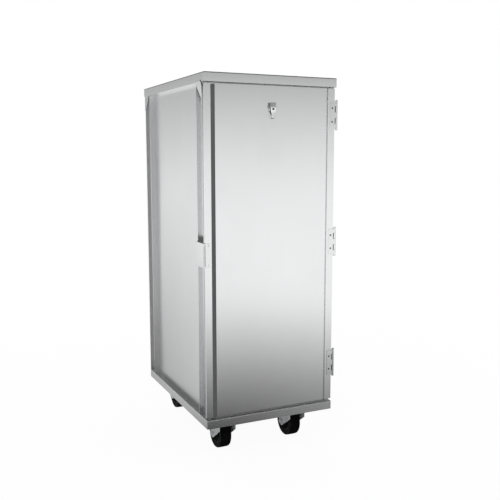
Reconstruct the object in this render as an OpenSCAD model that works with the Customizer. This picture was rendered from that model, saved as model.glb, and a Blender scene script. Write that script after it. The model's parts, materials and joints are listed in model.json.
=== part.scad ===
// Enclosed meal tray cart: a sheet metal cabinet on four swivel casters, with one
// full-width door hinged on the right and two columns of trays inside.
// Origin: centre of the plan, on the floor. Front is -Y, right is +X, up is +Z.

/* [Body] */
// Width of the base pan, side to side
base_w = 558; // [500:1:680]
// Depth of the base pan, front to back
base_d = 756; // [640:1:900]
// Height of the whole cart above the floor
cart_h = 1507; // [1150:1:1850]
// Height of the turned-down rims of the base pan and the top cap
rim_h = 35; // [30:1:45]
// Sheet of the base pan
base_sheet = 3; // [2:0.5:3.5]
// Sheet of the top cap
cap_sheet = 2; // [1.5:0.5:2.5]
// How far the cap stands out past the base on every side
cap_overhang = 3.5; // [3:0.5:7]
// Outer radius of the folded edges and corners of both pans
fold_r = 4; // [4:0.5:6]
// Sheet of the side panels
side_sheet = 1.5; // [1:0.5:2]
// Sheet of the back panel
back_sheet = 1.5; // [1:0.5:2]

/* [Uprights] */
// Width of an upright, seen from the side
upright_w = 65; // [55:1:80]
// Depth of the channel, from its web to the edges of its flanges
upright_depth = 24; // [21:1:32]
// Sheet of the uprights
upright_sheet = 2.5; // [2:0.5:3]
// How far the flange edges stay inside the edge of the base
upright_inset = 0.7; // [0.5:0.1:2]
// How far the back panel stays inside the rear edge of the base
back_inset = 0.5; // [0.5:0.5:4]

/* [Gussets] */
// Length of a gusset along the cap
gusset_len = 58; // [45:1:75]
// Height of a gusset below the cap
gusset_drop = 63; // [45:1:80]
// How far the front gussets lap over the outside of the cap's rim
gusset_lap = 7; // [5:1:12]
// Sheet of the gussets
gusset_sheet = 2; // [1.5:0.5:2]

/* [Door] */
// Thickness of the door
door_t = 12; // [11:0.5:18]
// How far the door's face stays behind the front edge of the base
door_setback = 9; // [6:0.5:14]
// Gap between the door's back and the frame, which holds the hinge leaf and the seal
door_gap = 2.5; // [2.4:0.1:4]
// How far the door's left edge stays inside the edge of the base
door_left_inset = 1; // [0:0.5:3]
// How far the door's right edge passes the edge of the base
door_right_out = 2; // [1:0.5:3]
// Gap between the deck and the door
door_foot_gap = 7; // [4:0.5:15]
// Gap between the door and the cap's rim
door_head_gap = 4; // [3:0.5:10]
// Sheet of the door's face
door_sheet = 1.5; // [1:0.25:2]
// Sheet of the door's liner
liner_sheet = 1.5; // [1:0.25:2]
// Width of the left stile
left_stile_w = 27; // [24:1:40]
// Width of the dark strip beside the left stile
strip_w = 16.5; // [12:0.5:24]
// How far the strip's face lies behind the door's face
strip_recess = 1; // [0.5:0.5:3]
// How far the strip stops below the top of the door
strip_top_gap = 4; // [2:0.5:10]
// Width of the right stile
right_stile_w = 31.5; // [28:0.5:45]
// Width of the reveal between the main panel and the right stile
reveal_w = 5.5; // [3:0.5:8]
// Width of the seal on the door's back
seal_w = 7; // [5:0.5:8]

/* [Hinges] */
// Overall length of a hinge barrel
barrel_h = 117; // [80:1:150]
// Radius of a hinge barrel
barrel_r = 5; // [4.5:0.25:6]
// Radius of a hinge pin
hinge_pin_r = 3; // [2:0.25:3]
// Height of the hinge leaves
leaf_h = 105; // [70:1:116]
// Thickness of the hinge leaves
leaf_t = 2; // [1.5:0.25:2]
// How far a door leaf reaches over the right stile
leaf_reach = 22; // [18:0.5:26]
// Distance from the door's right edge to the pins' centre line
hinge_out = 8; // [7.5:0.25:10]
// Centre of the top hinge, below the top of the door
top_hinge_drop = 104; // [80:1:200]
// Centre of the bottom hinge, above the foot of the door
bottom_hinge_rise = 157; // [80:1:220]
// Distance of the hinge screws from the middle of their leaf
hinge_screw_z = 27; // [15:1:32]

/* [Latch] */
// Foot of the latch, above the foot of the door
latch_rise = 593; // [300:1:700]
// Height of the latch plate and the lever
latch_h = 93; // [70:1:120]
// Width of the latch plate on the door
latch_plate_w = 21; // [17:0.5:23]
// Thickness of the latch plate and the lever
latch_t = 2; // [1.5:0.25:2.5]
// Height of the keeper's sloped top
keeper_slope_h = 18.5; // [10:0.5:30]
// How far the keeper's top slopes in
keeper_slope_in = 14; // [8:0.5:18]

/* [Clip] */
// Distance of the clip's pin below the top of the door
clip_drop = 89; // [60:1:200]
// Width of the clip
clip_w = 27; // [24:0.5:40]
// Distance of the clip's pin from the door's face
clip_pin_out = 6.5; // [6.5:0.25:10]
// Turns of the clip's spring
clip_turns = 5; // [3:1:5]

/* [Casters] */
// Overall height of a caster
caster_h = 165; // [158:1:190]
// Wheel radius
wheel_r = 63.5; // [53:0.5:63.5]
// Tread width of a wheel
wheel_w = 50.8; // [35:0.2:54]
// Distance from the kingpin to the axle, along the floor
caster_trail = 42.7; // [36:0.1:48]
// Distance from a side edge of the base to a kingpin
caster_inset_x = 118.4; // [112:0.2:140]
// Distance from the front or rear edge of the base to a kingpin
caster_inset_y = 116; // [112:0.5:160]
// Height of the cross channels that carry the casters
channel_h = 14; // [13:0.5:20]
// Width of the cross channels
channel_w = 126; // [120:1:140]
// Sheet of the cross channels
channel_sheet = 3; // [2:0.5:3]
// Axle radius
axle_r = 6; // [5:0.5:7]

/* [Trays] */
// Height from one pair of tray slides to the next
tray_pitch = 120; // [80:1:200]
// Height of the lowest slides above the deck
first_slide = 80; // [50:1:150]
// Width of the ledge that a tray rests on
ledge_w = 38; // [25:1:50]
// Height of the upright leg of a tray slide
slide_leg_h = 20; // [12:1:35]
// Sheet of the tray slides
slide_sheet = 1.5; // [1:0.5:2]

/* [Hidden] */
$fn = 64;

cut = 1;              // how far a cutter passes the face that it opens
press_clear = 0.01;   // radial clearance of a pressed pin
run_clear = 0.06;     // radial clearance of a turning fit
part_gap = 0.4;       // end gap between parts that move past each other
hole_clear = 0.05;    // radial clearance of a screw, bolt or rivet in its hole
eps = 0.01;

// Cabinet
deck_bottom = caster_h + channel_h;
deck_top = deck_bottom + base_sheet;
base_bottom = deck_top - rim_h;
cap_bottom = cart_h - rim_h;
frame_top = cart_h - cap_sheet;
base_half = base_w / 2;
front_edge = -base_d / 2;
rear_edge = base_d / 2;
cap_outer = base_half + cap_overhang;
upright_outer = base_half - upright_inset;
upright_web = upright_outer - upright_depth;     // inner face of the web
side_inner = upright_web - side_sheet;
door_front = front_edge + door_setback;
door_back = door_front + door_t;
frame_front = door_back + door_gap;
back_outer = rear_edge - back_inset;
frame_rear = back_outer - back_sheet;
rear_upright_front = frame_rear - upright_w;
flange_mid = (upright_web + upright_outer) / 2;
gusset_seat_h = 12;
header_h = 68;
sill_h = 32;
member_depth = 24;
member_sheet = 2;
panel_rivet_r = 2;
panel_rivet_head_r = 4;
panel_rivet_head_h = 1.2;
panel_rivet_pitch = 120;
panel_rivet_first = 60;    // above the deck, and least distance below the cap
panel_rivet_room = cap_bottom - deck_top - 2 * panel_rivet_first;
panel_rivet_count = 1 + floor(panel_rivet_room / panel_rivet_pitch);

// Door
door_left = -base_half + door_left_inset;
door_right = base_half + door_right_out;
door_foot = deck_top + door_foot_gap;
door_head = cap_bottom - door_head_gap;
liner_front = door_back - liner_sheet;
strip_left = door_left + left_stile_w;
strip_right = strip_left + strip_w;
panel_right = door_right - right_stile_w - reveal_w;
strip_wall = 2;
liner_inset = 1;
seal_t = door_gap - part_gap;
seal_outer = upright_web + seal_w + 0.7;

// Hinges
hinge_x = door_right + hinge_out;
knuckles = 5;
knuckle_h = barrel_h / knuckles;
hinge_z = [
    door_foot + bottom_hinge_rise,
    (door_foot + bottom_hinge_rise + door_head - top_hinge_drop) / 2,
    door_head - top_hinge_drop
];
leaf_left = door_right - leaf_reach;
leaf_notch = door_right;
leg_inner = hinge_x - barrel_r;
leg_outer = leg_inner + 2.5;
leg_front = door_front + barrel_r + 0.6;
frame_leaf_left = seal_outer + 1.2;
hinge_screw_r = 2.2;
hinge_screw_x = leaf_left + 10;
frame_screw_x = frame_leaf_left + 5;
screw_head_r = 4;
screw_head_h = 1.2;
screw_len = 7;
pin_head_r = 3.9;
pin_head_h = 0.9;
slot_w = 1.2;
slot_depth = 0.8;

// Latch
latch_foot = door_foot + latch_rise;
latch_head = latch_foot + latch_h;
latch_barrel_r = 2.6;
latch_pin_r = 1.5;
latch_x = door_left - latch_barrel_r - 1;
latch_y = door_front - latch_t + latch_barrel_r / 2;
lever_outer = latch_x - latch_barrel_r;
lever_inner = lever_outer + latch_t;
lever_end = frame_front + upright_w - 3;
latch_knuckle_h = 5;
latch_screw_r = 1.6;
latch_screw_head_r = 3;
latch_screw_head_h = 0.9;
latch_screw_in = 9;       // from the foot or head of the plate
latch_screw_x = door_left + latch_plate_w - 8;
keeper_outer = lever_inner + part_gap;
keeper_wall = 2;
keeper_side_gap = 0.3;
magnet_h = 30;
magnet_t = 6;

// Clip
clip_x = (door_left + door_right) / 2;
clip_z = door_head - clip_drop;
clip_y = door_front - clip_pin_out;
clip_sheet = 1.5;
jaw_sheet = 1.2;
clip_pin_r = 1.6;
ear_r = 3.2;
ear_t = 1.5;
hub_r = 4.4;
clip_base_up = 22;
clip_base_down = 36;
tab_top_w = clip_w - 5;
finger_w = clip_w - 2 * (ear_t + part_gap) - 2;
jaw_tip_w = 10;
ear_inner = clip_w / 2 - 1 - ear_t;
coil_room = 5;            // half the room between the jaw's hubs
lip_rest = -clip_pin_out + clip_sheet + part_gap + jaw_sheet / 2;
clip_rivet_r = 1.5;
clip_rivet_head_r = 2.6;
clip_rivet_head_h = 0.8;
clip_rivet_z = [15, -22];
wire_d = 1;
coil_r = 3;
coil_pitch = 1.6;
coil_steps = 8;
coil_sides = 6;
coil_leg = 7;

// Casters
kingpin_x = base_half - caster_inset_x;
kingpin_y = rear_edge - caster_inset_y;
plate_t = 4;
plate_w = 101.6;
plate_l = 114.3;
bolt_dx = 33.3;
bolt_dy = 46;
bolt_r = 5;
bolt_head_r = 9;
bolt_head_h = 6;
bolt_nut_h = 7;
race_r = 40;
race_h = 5;
plate_bottom = caster_h - plate_t;
race_bottom = plate_bottom - race_h;
crown_t = 4;
crown_top = race_bottom - 13;
crown_bottom = crown_top - crown_t;
swivel_r = 38;
kingpin_r = 8;
kingpin_nut_r = 11;
kingpin_nut_h = 8;
leg_t = 4;
leg_in = wheel_w / 2 + 7.6;
leg_out = leg_in + leg_t;
crown_front = -45;
crown_back = 48;
crown_corner_r = 9;
leg_tip_r = 19;
leg_shoulder = 48;
leg_top_inset = 1;        // how far a leg's top stays inside the straight sides of the crown
tip_overlap = 0.05;       // how far a leg's edges run inside the circle of its tip
hub_half = leg_in - part_gap;
hub_outer_r = 17;
core_r = wheel_r - 20;
core_rim_t = 5.5;
core_rim_half = wheel_w / 2 - 3.4;
web_half = 8;
tyre_chamfer = 1.5;
axle_head_r = 10;
axle_head_h = 6;
axle_nut_h = 8;

// Trays
slide_room = frame_top - header_h - deck_top - first_slide;
slide_count = 1 + floor(slide_room / tray_pitch);
slide_front = frame_front + member_depth + 4;
slide_rear = frame_rear - 6;

sheet_white = [0.86, 0.87, 0.88];
steel = [0.78, 0.79, 0.80];
zinc = [0.68, 0.69, 0.70];
dark_grey = [0.36, 0.37, 0.37];
near_black = [0.09, 0.09, 0.10];

// ---- helpers ----

// A box from its lowest corner to its highest
module block(lo, hi) {
    translate(lo) cube(hi - lo);
}

// A rectangle with round corners, centred
module round_rect(w, h, r) {
    square([w - 2 * r, h], center = true);
    square([w, h - 2 * r], center = true);
    for (sx = [-1, 1], sy = [-1, 1])
        translate([sx * (w / 2 - r), sy * (h / 2 - r)]) circle(r);
}

// A cylinder along X, from x0 to x1
module rod_x(x0, x1, r, sides = 64) {
    translate([x0, 0, 0]) rotate([0, 90, 0]) cylinder(h = x1 - x0, r = r, $fn = sides);
}

// A cylinder or cone along Y, from y0 to y1
module rod_y(y0, y1, r1, r2) {
    translate([0, y0, 0]) rotate([-90, 0, 0]) cylinder(h = y1 - y0, r1 = r1, r2 = r2);
}

// Draws a piece on the left as it is, and mirrored on the right
module both_sides() {
    children();
    mirror([1, 0, 0]) children();
}

// Cross-section of a folded edge: the flat ends at x = 0, the rim runs down from it
module fold_section(h, t, r) {
    translate([0, h - r]) intersection() {
        difference() {
            circle(r);
            circle(r - t);
        }
        square(r);
    }
    translate([r - t, 0]) square([t, h - r]);
}

// A sheet pan with its rim turned down and round folds, standing on z = 0
module folded_pan(w, d, h, t, r) {
    translate([-w / 2 + r, -d / 2 + r, h - t]) cube([w - 2 * r, d - 2 * r, t]);
    for (turn = [0 : 3]) {
        across = turn % 2 == 0 ? w : d;
        along = turn % 2 == 0 ? d : w;
        rotate([0, 0, 90 * turn]) {
            translate([across / 2 - r, along / 2 - r, 0]) {
                rotate([90, 0, 0]) linear_extrude(along - 2 * r) fold_section(h, t, r);
                rotate_extrude(angle = 90) fold_section(h, t, r);
            }
        }
    }
}

// Mitred outline of a bent strip of one thickness along a list of points
function unit(v) = v / norm(v);
function side_of(v) = [-v.y, v.x];
function ahead(p, i) = unit(p[min(i + 1, len(p) - 1)] - p[min(i, len(p) - 2)]);
function behind(p, i) = unit(p[max(i, 1)] - p[max(i - 1, 0)]);
function miter(p, i) =
    let (a = side_of(behind(p, i)), b = side_of(ahead(p, i))) (a + b) / (1 + a * b);
function strip_outline(p, t) = concat(
    [for (i = [0 : len(p) - 1]) p[i] + miter(p, i) * t / 2],
    [for (i = [len(p) - 1 : -1 : 0]) p[i] - miter(p, i) * t / 2]
);

// Point where a line from p touches a circle about c, on the side given as 1 or -1
function tangent_point(p, c, r, side) =
    let (v = p - c, a = atan2(v.y, v.x) + side * acos(r / norm(v)))
    c + r * [cos(a), sin(a)];

// ---- cabinet ----

module base_pan() color(sheet_white)
    translate([0, 0, base_bottom]) folded_pan(base_w, base_d, rim_h, base_sheet, fold_r);

module top_cap() color(sheet_white)
    translate([0, 0, cap_bottom])
        folded_pan(base_w + 2 * cap_overhang, base_d + 2 * cap_overhang, rim_h, cap_sheet, fold_r);

// Cross channel, open upward, at the casters' line y
module caster_channel(y) color(zinc) difference() {
    block([-base_half + fold_r, y - channel_w / 2, caster_h],
          [base_half - fold_r, y + channel_w / 2, deck_bottom]);
    block([-base_half, y - channel_w / 2 + channel_sheet, caster_h + channel_sheet],
          [base_half, y + channel_w / 2 - channel_sheet, deck_bottom + cut]);
    for (sx = [-1, 1], bx = [-1, 1], by = [-1, 1])
        translate([sx * kingpin_x + bx * bolt_dx, y + by * bolt_dy, caster_h - cut])
            cylinder(h = channel_sheet + 2 * cut, r = bolt_r + hole_clear);
}

// Left upright, a channel open to -X, between y0 and y0 + upright_w
module upright(y0) difference() {
    block([-upright_outer, y0, deck_top], [-upright_web, y0 + upright_w, frame_top]);
    block([-upright_outer - cut, y0 + upright_sheet, deck_top - cut],
          [-upright_web - upright_sheet, y0 + upright_w - upright_sheet, frame_top + cut]);
}

module upright_front_left() color(sheet_white) upright(frame_front);

module upright_front_right() color(sheet_white) difference() {
    mirror([1, 0, 0]) upright(frame_front);
    for (z = hinge_z, dz = [-1, 1])
        translate([frame_screw_x, 0, z + dz * hinge_screw_z])
            rod_y(frame_front - cut, frame_front + upright_sheet + cut,
                  hinge_screw_r + hole_clear, hinge_screw_r + hole_clear);
}

module rivet_places() {
    for (i = [0 : panel_rivet_count - 1])
        translate([-flange_mid, 0, deck_top + panel_rivet_first + i * panel_rivet_pitch])
            children();
}

module upright_rear() difference() {
    upright(rear_upright_front);
    rivet_places() rod_y(frame_rear - upright_sheet - cut, back_outer + cut,
                         panel_rivet_r + hole_clear, panel_rivet_r + hole_clear);
}

module upright_rear_left() color(sheet_white) upright_rear();

module upright_rear_right() color(sheet_white) mirror([1, 0, 0]) upright_rear();

module side_panel_left() color(sheet_white)
    block([-upright_web, frame_front, deck_top], [-side_inner, frame_rear, frame_top]);

module side_panel_right() color(sheet_white) mirror([1, 0, 0]) side_panel_left();

module back_panel() color(sheet_white) difference() {
    block([-upright_outer, frame_rear, deck_top], [upright_outer, back_outer, frame_top]);
    both_sides() rivet_places() rod_y(frame_rear - cut, back_outer + cut,
                                      panel_rivet_r + hole_clear, panel_rivet_r + hole_clear);
}

module back_panel_rivets() color(zinc) both_sides() rivet_places() {
    rod_y(frame_rear - upright_sheet - 1, back_outer + eps, panel_rivet_r, panel_rivet_r);
    rod_y(back_outer, back_outer + panel_rivet_head_h, panel_rivet_head_r, panel_rivet_r);
}

// Cross member between the side panels, a channel open to the back
module cross_member(z0, z1) color(sheet_white) difference() {
    block([-side_inner, frame_front, z0], [side_inner, frame_front + member_depth, z1]);
    block([-side_inner - cut, frame_front + member_sheet, z0 + member_sheet],
          [side_inner + cut, frame_front + member_depth + cut, z1 - member_sheet]);
}

module door_header() cross_member(frame_top - header_h, frame_top);

module door_sill() cross_member(deck_top, deck_top + sill_h);

// Outline of a gusset in Y and Z, from the upright's edge at y = 0 and the rim at z = 0
module gusset_outline(top) {
    tip = 4;
    corner = 6;
    polygon([[0, -gusset_drop], [tip, -gusset_drop], [gusset_len, 0], [gusset_len, top],
             [corner, top], [0, top - 1.6 * corner]]);
}

// Front gusset: its foot lies on the flange edge, then it leans out and laps over the cap's rim
module front_gusset() translate([-upright_outer, frame_front, cap_bottom]) intersection() {
    rotate([90, 0, -90]) translate([0, 0, -cut]) mirror([1, 0, 0])
        linear_extrude(cap_outer - upright_outer + gusset_sheet + 2 * cut)
            gusset_outline(gusset_lap);
    step = cap_outer - upright_outer;
    seat = -gusset_drop + gusset_seat_h;
    rotate([90, 0, 0]) translate([0, 0, -gusset_len - cut]) linear_extrude(gusset_len + 2 * cut)
        polygon([[0, -gusset_drop - cut], [0, seat], [-step, 0], [-step, gusset_lap + cut],
                 [-step - gusset_sheet, gusset_lap + cut], [-step - gusset_sheet, 0],
                 [-gusset_sheet, seat], [-gusset_sheet, -gusset_drop - cut]]);
}

// Rear gusset: flat, tucked in behind the rim
module rear_gusset() translate([-upright_outer, frame_rear, cap_bottom])
    rotate([90, 0, -90]) linear_extrude(gusset_sheet) gusset_outline(4);

module corner_gussets() color(steel) both_sides() {
    front_gusset();
    rear_gusset();
}

module tray_slides() for (i = [0 : slide_count - 1]) {
    z = deck_top + first_slide + i * tray_pitch;
    block([-side_inner, slide_front, z], [-side_inner + ledge_w, slide_rear, z + slide_sheet]);
    block([-side_inner, slide_front, z],
          [-side_inner + slide_sheet, slide_rear, z + slide_leg_h]);
}

module tray_slides_left() color(sheet_white) tray_slides();

module tray_slides_right() color(sheet_white) mirror([1, 0, 0]) tray_slides();

// ---- door ----

// One face section of the door: a pan open to the liner
module door_section(x0, x1) difference() {
    block([x0, door_front, door_foot], [x1, liner_front, door_head]);
    block([x0 + door_sheet, door_front + door_sheet, door_foot + door_sheet],
          [x1 - door_sheet, liner_front + cut, door_head - door_sheet]);
}

module door_left_stile() color(sheet_white) difference() {
    door_section(door_left, strip_left);
    latch_screw_places() rod_y(door_front - cut, door_front + door_sheet + cut,
                               latch_screw_r + hole_clear, latch_screw_r + hole_clear);
}

module door_right_stile() color(sheet_white) difference() {
    door_section(door_right - right_stile_w, door_right);
    for (z = hinge_z, dz = [-1, 1])
        translate([hinge_screw_x, 0, z + dz * hinge_screw_z])
            rod_y(door_front - cut, door_front + door_sheet + cut,
                  hinge_screw_r + hole_clear, hinge_screw_r + hole_clear);
}

module door_panel() color(sheet_white) difference() {
    door_section(strip_right, panel_right);
    for (z = clip_rivet_z)
        translate([clip_x, 0, clip_z + z])
            rod_y(door_front - cut, door_front + door_sheet + cut,
                  clip_rivet_r + hole_clear, clip_rivet_r + hole_clear);
}

module door_strip() color(dark_grey) difference() {
    block([strip_left, door_front + strip_recess, door_foot],
          [strip_right, liner_front, door_head - strip_top_gap]);
    block([strip_left + strip_wall, door_front + strip_recess + strip_wall, door_foot + strip_wall],
          [strip_right - strip_wall, liner_front + cut, door_head - strip_top_gap - strip_wall]);
}

module door_liner() color(sheet_white)
    block([door_left + liner_inset, liner_front, door_foot + liner_inset],
          [door_right - liner_inset, door_back, door_head - liner_inset]);

// Seal on the door's back, which closes on the uprights, the header and the sill
module door_seal() color(near_black) difference() {
    block([-seal_outer, door_back, door_foot + liner_inset],
          [seal_outer, door_back + seal_t, door_head - liner_inset]);
    block([-seal_outer + seal_w, door_back - cut, door_foot + liner_inset + seal_w],
          [seal_outer - seal_w, door_back + seal_t + cut, door_head - liner_inset - seal_w]);
}

// ---- hinges ----

function knuckle_foot(k) = -barrel_h / 2 + k * knuckle_h + (k > 0 ? part_gap / 2 : 0);
function knuckle_head(k) =
    -barrel_h / 2 + (k + 1) * knuckle_h - (k < knuckles - 1 ? part_gap / 2 : 0);

module knuckle(k) translate([hinge_x, door_front, knuckle_foot(k)])
    cylinder(h = knuckle_head(k) - knuckle_foot(k), r = barrel_r);

module pin_bore(r) translate([hinge_x, door_front, -barrel_h / 2 - cut])
    cylinder(h = barrel_h + 2 * cut, r = r);

module hinge_door_leaf() difference() {
    union() {
        block([leaf_left, door_front - leaf_t, -leaf_h / 2], [leaf_notch, door_front, leaf_h / 2]);
        for (k = [0, 2, 4]) {
            knuckle(k);
            block([leaf_notch - cut, door_front - leaf_t, max(knuckle_foot(k), -leaf_h / 2)],
                  [hinge_x, door_front, min(knuckle_head(k), leaf_h / 2)]);
        }
    }
    pin_bore(hinge_pin_r + run_clear);
    for (dz = [-1, 1])
        translate([hinge_screw_x, 0, dz * hinge_screw_z])
            rod_y(door_front - leaf_t - cut, door_front + cut,
                  hinge_screw_r + hole_clear, hinge_screw_r + hole_clear);
}

module hinge_door_leaves() color(steel)
    for (z = hinge_z) translate([0, 0, z]) hinge_door_leaf();

// Round the door's edge: flat on the upright, forward beside the door, then two knuckles
module hinge_frame_leaf() difference() {
    union() {
        block([frame_leaf_left, frame_front - leaf_t, -leaf_h / 2],
              [leg_outer, frame_front, leaf_h / 2]);
        block([leg_inner, leg_front, -leaf_h / 2], [leg_outer, frame_front, leaf_h / 2]);
        for (k = [1, 3]) {
            knuckle(k);
            block([leg_inner, door_front, knuckle_foot(k)],
                  [leg_outer, leg_front + cut, knuckle_head(k)]);
        }
    }
    pin_bore(hinge_pin_r + press_clear);
    for (dz = [-1, 1])
        translate([frame_screw_x, 0, dz * hinge_screw_z])
            rod_y(frame_front - leaf_t - eps, frame_front + eps,
                  hinge_screw_r + leaf_t + hole_clear + eps, hinge_screw_r + hole_clear - eps);
}

module hinge_frame_leaves() color(steel)
    for (z = hinge_z) translate([0, 0, z]) hinge_frame_leaf();

module hinge_pins() color(steel) for (z = hinge_z) translate([hinge_x, door_front, z]) {
    cylinder(h = barrel_h + 2 * part_gap, r = hinge_pin_r, center = true);
    for (end = [-1, 1])
        mirror([0, 0, end < 0 ? 1 : 0])
            translate([0, 0, barrel_h / 2 + part_gap - eps])
                cylinder(h = pin_head_h, r1 = pin_head_r, r2 = pin_head_r - 1.4);
}

// Screw with a low head and a cross recess; the head's seat is at y = 0
module round_screw(r, head_r, head_h, length) difference() {
    union() {
        rod_y(-eps, length, r, r);
        rod_y(-head_h, 0, head_r * 0.8, head_r);
    }
    for (turn = [0, 90])
        rotate([0, turn, 0])
            block([-head_r / 2, -head_h - cut, -slot_w / 2],
                  [head_r / 2, -head_h + slot_depth, slot_w / 2]);
}

module hinge_door_screws() color(zinc) for (z = hinge_z, dz = [-1, 1])
    translate([hinge_screw_x, door_front - leaf_t, z + dz * hinge_screw_z])
        round_screw(hinge_screw_r, screw_head_r, screw_head_h, screw_len);

// Countersunk screws, flush with the frame leaves
module hinge_frame_screws() color(zinc) for (z = hinge_z, dz = [-1, 1])
    translate([frame_screw_x, frame_front, z + dz * hinge_screw_z]) difference() {
        union() {
            rod_y(-leaf_t, 0, hinge_screw_r + leaf_t, hinge_screw_r);
            rod_y(-eps, screw_len, hinge_screw_r, hinge_screw_r);
        }
        for (turn = [0, 90])
            rotate([0, turn, 0])
                block([-hinge_screw_r, -leaf_t - cut, -slot_w / 2],
                      [hinge_screw_r, -leaf_t + slot_depth, slot_w / 2]);
    }

// ---- latch ----

module latch_screw_places() for (z = [latch_foot + latch_screw_in, latch_head - latch_screw_in])
    translate([latch_screw_x, 0, z]) children();

// Knuckle of the latch whose foot lies at height z above the latch's foot
module latch_knuckle(z) translate([latch_x, latch_y, latch_foot + z])
    cylinder(h = latch_knuckle_h, r = latch_barrel_r);

module latch_bore(r) translate([latch_x, latch_y, latch_foot - cut])
    cylinder(h = latch_h + 2 * cut, r = r);

plate_knuckles = [0, latch_h - latch_knuckle_h];
lever_knuckles = [latch_knuckle_h + part_gap, latch_h - 2 * latch_knuckle_h - part_gap];

module latch_plate() color(steel) difference() {
    union() {
        block([door_left, door_front - latch_t, latch_foot],
              [door_left + latch_plate_w, door_front, latch_head]);
        for (z = plate_knuckles) {
            latch_knuckle(z);
            block([latch_x, door_front - latch_t, latch_foot + z],
                  [door_left + cut, door_front, latch_foot + z + latch_knuckle_h]);
        }
    }
    latch_bore(latch_pin_r + press_clear);
    latch_screw_places() rod_y(door_front - latch_t - cut, door_front + cut,
                               latch_screw_r + hole_clear, latch_screw_r + hole_clear);
}

module latch_screws() color(zinc) latch_screw_places()
    translate([0, door_front - latch_t, 0])
        round_screw(latch_screw_r, latch_screw_head_r, latch_screw_head_h, screw_len);

module latch_pin() color(near_black) translate([latch_x, latch_y, latch_foot - 1])
    cylinder(h = latch_h + 2, r = latch_pin_r);

// Lever: a flat plate along the cart's side, hung on the corner pin
module latch_lever() color(steel) difference() {
    union() {
        block([lever_outer, latch_y + latch_barrel_r + part_gap, latch_foot],
              [lever_inner, lever_end, latch_head]);
        for (z = lever_knuckles) {
            latch_knuckle(z);
            block([lever_outer, latch_y, latch_foot + z],
                  [lever_inner, latch_y + latch_barrel_r + part_gap + cut,
                   latch_foot + z + latch_knuckle_h]);
        }
    }
    latch_bore(latch_pin_r + run_clear);
}

// Outline of the keeper in X and Z, grown inward by a wall; the top slopes in and up
module keeper_outline(wall) {
    top = latch_head + keeper_slope_h - wall;
    web = -upright_web - upright_sheet;
    slope_x = keeper_outer + keeper_slope_in;
    polygon([[keeper_outer + wall, latch_foot + wall], [keeper_outer + wall, latch_head - wall / 2],
             [slope_x + wall / 2, top], [web, top], [web, latch_foot + wall]]);
}

module latch_keeper() color(steel) {
    front = frame_front + upright_sheet + keeper_side_gap;
    width = upright_w - 2 * (upright_sheet + keeper_side_gap);
    difference() {
        translate([0, front + width, 0]) rotate([90, 0, 0]) linear_extrude(width)
            keeper_outline(0);
        translate([cut, front + width - keeper_wall, 0]) rotate([90, 0, 0])
            linear_extrude(width - 2 * keeper_wall) keeper_outline(keeper_wall);
        translate([0, front + width - keeper_wall, 0]) rotate([90, 0, 0])
            linear_extrude(width - 2 * keeper_wall) keeper_outline(keeper_wall);
    }
}

// Two magnets behind the keeper's face, which hold the lever shut
module keeper_magnets() color(near_black)
    for (z = [latch_foot + latch_h / 4, latch_foot + latch_h * 3 / 4])
        block([keeper_outer + keeper_wall, frame_front + upright_w / 2 - 10, z - magnet_h / 2],
              [keeper_outer + keeper_wall + magnet_t, frame_front + upright_w / 2 + 10,
               z + magnet_h / 2]);

// ---- clip ----

// Places clip pieces: x across the clip, y out of the door, z up, from the pin's centre
module at_clip() translate([clip_x, clip_y, clip_z]) mirror([0, 1, 0]) children();

module clip_rivet_holes() for (z = clip_rivet_z) translate([0, 0, z])
    rod_y(-clip_pin_out - cut, -clip_pin_out + clip_sheet + cut,
          clip_rivet_r + hole_clear, clip_rivet_r + hole_clear);

module clip_ear(x0) difference() {
    union() {
        rod_x(x0, x0 + ear_t, ear_r);
        translate([x0, 0, 0]) rotate([90, 0, 90]) linear_extrude(ear_t)
            polygon([[0, -ear_r], [0, ear_r], [-clip_pin_out + cut, ear_r + 4],
                     [-clip_pin_out + cut, -ear_r - 7]]);
    }
    rod_x(x0 - cut, x0 + ear_t + cut, clip_pin_r + press_clear);
}

module clip_base() color(steel) at_clip() {
    difference() {
        translate([0, -clip_pin_out + clip_sheet, (clip_base_up - clip_base_down) / 2])
            rotate([90, 0, 0]) linear_extrude(clip_sheet)
                round_rect(clip_w, clip_base_up + clip_base_down, 2);
        clip_rivet_holes();
    }
    clip_ear(ear_inner);
    clip_ear(-ear_inner - ear_t);
}

module clip_pin() color(steel) at_clip() rod_x(-clip_w / 2, clip_w / 2, clip_pin_r);

module clip_rivets() color(zinc) at_clip() for (z = clip_rivet_z) translate([0, 0, z]) {
    seat = -clip_pin_out + clip_sheet;
    rod_y(-clip_pin_out - door_sheet - 1, seat + eps, clip_rivet_r, clip_rivet_r);
    rod_y(seat, seat + clip_rivet_head_h, clip_rivet_head_r, clip_rivet_r);
}

// Side view of the jaw, from the curled lip up to the top of the thumb tab
jaw_path = [
    [lip_rest + 3, -35.5], [lip_rest, -32], [lip_rest + 0.8, -28], [1, -17],
    [4.2, -7], [4.6, 0], [5.2, 7], [4.4, 25]
];

module clip_jaw() color(steel) at_clip() difference() {
    union() {
        intersection() {
            translate([-clip_w / 2, 0, 0]) rotate([90, 0, 90]) linear_extrude(clip_w)
                polygon(strip_outline(jaw_path, jaw_sheet));
            rotate([90, 0, 0]) translate([0, 0, -20]) linear_extrude(40)
                polygon([[-jaw_tip_w / 2, -40], [jaw_tip_w / 2, -40], [jaw_tip_w / 2, -18],
                         [finger_w / 2, -8], [finger_w / 2, 4], [clip_w / 2, 7],
                         [tab_top_w / 2, 26], [-tab_top_w / 2, 26], [-clip_w / 2, 7],
                         [-finger_w / 2, 4], [-finger_w / 2, -8], [-jaw_tip_w / 2, -18]]);
        }
        rod_x(coil_room, ear_inner - part_gap, hub_r);
        rod_x(-ear_inner + part_gap, -coil_room, hub_r);
    }
    rod_x(-clip_w, clip_w, clip_pin_r + run_clear);
    block([-coil_room + 0.6, 0, -3], [coil_room - 0.6, 8, 4]);
}

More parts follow.
